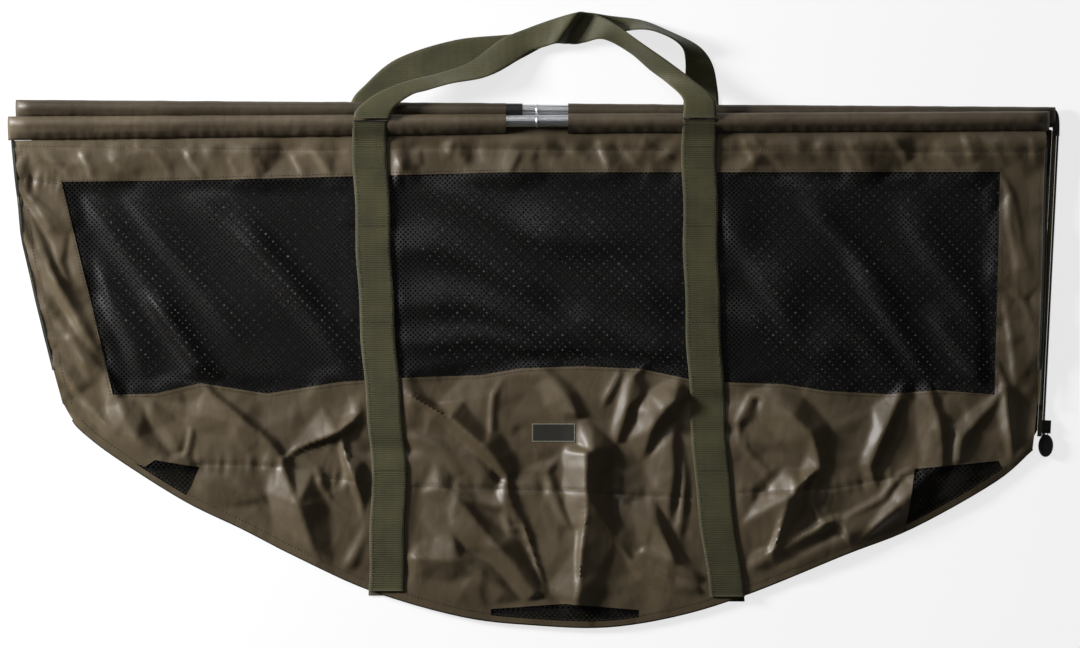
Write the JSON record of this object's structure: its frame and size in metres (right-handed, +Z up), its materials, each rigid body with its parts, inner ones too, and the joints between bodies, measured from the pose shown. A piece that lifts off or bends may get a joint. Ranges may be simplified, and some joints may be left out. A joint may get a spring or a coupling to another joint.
{
  "type": "fishing weigh sling",
  "caption": "Floor-laid fishing weigh sling: a coated nylon bag with net windows, two plug-together poles, webbing handles and zips up both ends.",
  "frame": {"origin": "on the floor under the middle of the whole sling", "axes": "+X along the poles to the right end, +Y from the belly to the handles, +Z up from the floor"},
  "size_m": [1.202, 0.7054, 0.0344],
  "materials": {
    "coated_nylon": "coated, slightly glossy",
    "black_net": "matt net",
    "olive_webbing": "matt woven webbing",
    "dark_pole": "semi-gloss",
    "silver_ferrule": "bright",
    "black_plastic": "moulded",
    "zip_tape": "matt woven tape",
    "zip_coil": "nylon coil",
    "dark_slider": "dark plated",
    "label_patch": "matt woven, bare"
  },
  "bodies": {
    "sling_base": {"rear_mesh_window": "black_net", "rear_top_band": "coated_nylon", "rear_left_border": "coated_nylon", "rear_right_border": "coated_nylon", "rear_panel_lower": "coated_nylon", "rear_sleeve_left": "coated_nylon", "rear_sleeve_right": "coated_nylon", "rear_pole_left": "dark_pole", "rear_ferrule_socket": "silver_ferrule", "rear_ferrule_collar": "black_plastic", "rear_pole_plug_left": "black_plastic", "rear_strap_left": "olive_webbing", "rear_strap_right": "olive_webbing", "front_panel_lower": "coated_nylon", "drain_mesh_left": "black_net", "drain_mesh_right": "black_net", "drain_mesh_bottom": "black_net", "bottom_hem": "coated_nylon", "front_strap_lower_left": "olive_webbing", "front_strap_lower_right": "olive_webbing", "label_patch": "label_patch", "right_zip_tape_rear": "zip_tape", "right_zip_coil_rear": "zip_coil", "left_zip_tape_rear": "zip_tape", "left_zip_coil_rear": "zip_coil", "right_zip_stop": "dark_slider", "left_zip_stop": "dark_slider"},
    "front_flap": {"front_mesh_window": "black_net", "front_top_band": "coated_nylon", "front_left_border": "coated_nylon", "front_right_border": "coated_nylon", "front_panel_upper": "coated_nylon", "front_sleeve_left": "coated_nylon", "front_sleeve_right": "coated_nylon", "front_pole_left": "dark_pole", "front_ferrule_socket": "silver_ferrule", "front_pole_plug_left": "black_plastic", "front_strap_upper_left": "olive_webbing", "front_strap_upper_right": "olive_webbing", "right_zip_tape_front": "zip_tape", "right_zip_coil_front": "zip_coil", "left_zip_tape_front": "zip_tape", "left_zip_coil_front": "zip_coil"},
    "rear_pole_half": {"rear_pole_right": "dark_pole", "rear_ferrule_spigot": "silver_ferrule", "rear_pole_plug_right": "black_plastic"},
    "front_pole_half": {"front_pole_right": "dark_pole", "front_ferrule_spigot": "silver_ferrule", "front_pole_plug_right": "black_plastic"},
    "front_handle": {"front_handle": "olive_webbing"},
    "rear_handle": {"rear_handle": "olive_webbing"},
    "right_zip_slider": {"right_zip_slider": "dark_slider"},
    "right_zip_pull": {"right_zip_pull": "black_plastic"},
    "left_zip_slider": {"left_zip_slider": "dark_slider"},
    "left_zip_pull": {"left_zip_pull": "black_plastic"}
  },
  "joints": [
    {"name": "front_flap_fold", "type": "hinge", "parent": "sling_base", "child": "front_flap", "pos_m": [0, -0.09684, 0.0141], "axis": [1, 0, 0], "range_deg": [0, 165]},
    {"name": "front_handle_lift", "type": "hinge", "parent": "front_flap", "child": "front_handle", "pos_m": [0.00481, 0.22656, 0.02124], "axis": [0.9999, 0.0045, 0.009], "range_deg": [0, 90]},
    {"name": "rear_handle_lift", "type": "hinge", "parent": "sling_base", "child": "rear_handle", "pos_m": [0.00481, 0.23891, 0.01], "axis": [1, -0.007, 0], "range_deg": [0, 79.2]},
    {"name": "front_pole_plug_out", "type": "slide", "parent": "front_flap", "child": "front_pole_half", "axis": [0.9999, 0.0045, 0.009], "range_m": [0, 0.034]},
    {"name": "rear_pole_plug_out", "type": "slide", "parent": "sling_base", "child": "rear_pole_half", "axis": [1, -0.007, 0], "range_m": [0, 0.034]},
    {"name": "right_zip_slide", "type": "slide", "parent": "sling_base", "child": "right_zip_slider", "axis": [0.049, 0.9988, 0], "range_m": [0, 0.325]},
    {"name": "right_pull_turn", "type": "hinge", "parent": "right_zip_slider", "child": "right_zip_pull", "pos_m": [0.58626, -0.12266, 0.0057], "axis": [-0.9988, 0.049, 0], "range_deg": [0, 110]},
    {"name": "left_zip_slide", "type": "slide", "parent": "sling_base", "child": "left_zip_slider", "axis": [-0.1975, 0.9803, 0], "range_m": [0, 0.245]},
    {"name": "left_pull_turn", "type": "hinge", "parent": "left_zip_slider", "child": "left_zip_pull", "pos_m": [-0.53033, -0.06708, 0.0057], "axis": [0.9803, 0.1975, 0], "range_deg": [0, 2.5]}
  ],
  "couplings": [
    {"joint": "rear_handle_lift", "follows": "front_handle_lift", "ratio": 0.88}
  ]
}
